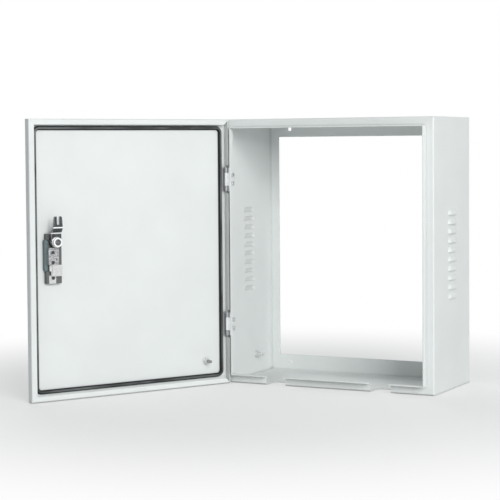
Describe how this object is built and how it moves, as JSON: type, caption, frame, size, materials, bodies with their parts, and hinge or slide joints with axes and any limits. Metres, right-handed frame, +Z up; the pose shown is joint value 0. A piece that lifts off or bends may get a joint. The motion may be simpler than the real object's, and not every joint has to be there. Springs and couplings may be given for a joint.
{
  "type": "steel wall enclosure",
  "caption": "Shallow steel wall enclosure with a gasketed hinged door, louvred sides, cable notches in the floor and a swing-handle cam lock.",
  "frame": {"origin": "centre of the wall-hole pattern, in the plane that lies on the wall", "axes": "+X to the right seen from the front, +Y back into the wall, +Z up"},
  "size_m": [0.6255, 0.563, 0.5],
  "materials": {
    "powder": "fine-textured light grey powder coat",
    "hinge_zinc": "zinc plated",
    "bright_zinc": "bright zinc plated",
    "blue_zinc": "blue zinc plated",
    "dark_zinc": "black zinc plated",
    "die_cast": "rough die cast",
    "black_die_cast": "black powder coat",
    "brass": "satin",
    "gasket_rubber": "matt foam"
  },
  "bodies": {
    "enclosure": {"left_side": "powder", "right_side": "powder", "top_side": "powder", "bottom_side": "powder", "upper_hinge_body_leaf": "hinge_zinc", "lower_hinge_body_leaf": "hinge_zinc", "hinge_pins": "bright_zinc", "hinge_screws": "bright_zinc", "hinge_nuts": "bright_zinc", "body_earth_stud": "bright_zinc", "body_earth_nut": "bright_zinc"},
    "door": {"door_pan": "powder", "door_gasket": "gasket_rubber", "upper_hinge_door_leaf": "hinge_zinc", "lower_hinge_door_leaf": "hinge_zinc", "door_earth_stud": "bright_zinc", "door_earth_nut": "bright_zinc", "lock_seal": "gasket_rubber", "lock_plate": "black_die_cast", "lock_body": "dark_zinc", "lock_housing": "die_cast", "clamp_bar": "blue_zinc", "lower_bracket": "bright_zinc", "lock_screws": "dark_zinc", "button_spring": "bright_zinc"},
    "spindle_group": {"spindle": "bright_zinc", "spindle_spacer": "bright_zinc", "cam": "blue_zinc", "cam_washer": "bright_zinc", "cam_nut": "blue_zinc"},
    "handle_group": {"handle": "black_die_cast", "handle_pin": "bright_zinc"},
    "button_group": {"lock_button": "bright_zinc"},
    "plug_group": {"key_plug": "brass"}
  },
  "joints": [
    {"name": "door_hinge", "type": "hinge", "parent": "enclosure", "child": "door", "pos_m": [-0.203, -0.2, 0], "axis": [0, 0, 1], "range_deg": [-3, 119]},
    {"name": "spindle_turn", "type": "hinge", "parent": "door", "child": "spindle_group", "pos_m": [-0.38865, -0.51327, 0.0325], "axis": [0.8746, -0.4848, 0], "range_deg": [0, 90]},
    {"name": "handle_flip", "type": "hinge", "parent": "spindle_group", "child": "handle_group", "pos_m": [-0.39827, -0.50794, 0.0325], "axis": [0.4848, 0.8746, 0], "range_deg": [0, 35]},
    {"name": "button_press", "type": "slide", "parent": "door", "child": "button_group", "axis": [0.8746, -0.4848, 0], "range_m": [0, 0.003], "stiffness_N_per_m": 400, "springref_m": -0.002},
    {"name": "key_turn", "type": "hinge", "parent": "button_group", "child": "plug_group", "pos_m": [-0.38865, -0.51327, -0.03], "axis": [0.8746, -0.4848, 0], "range_deg": [0, 90]}
  ]
}
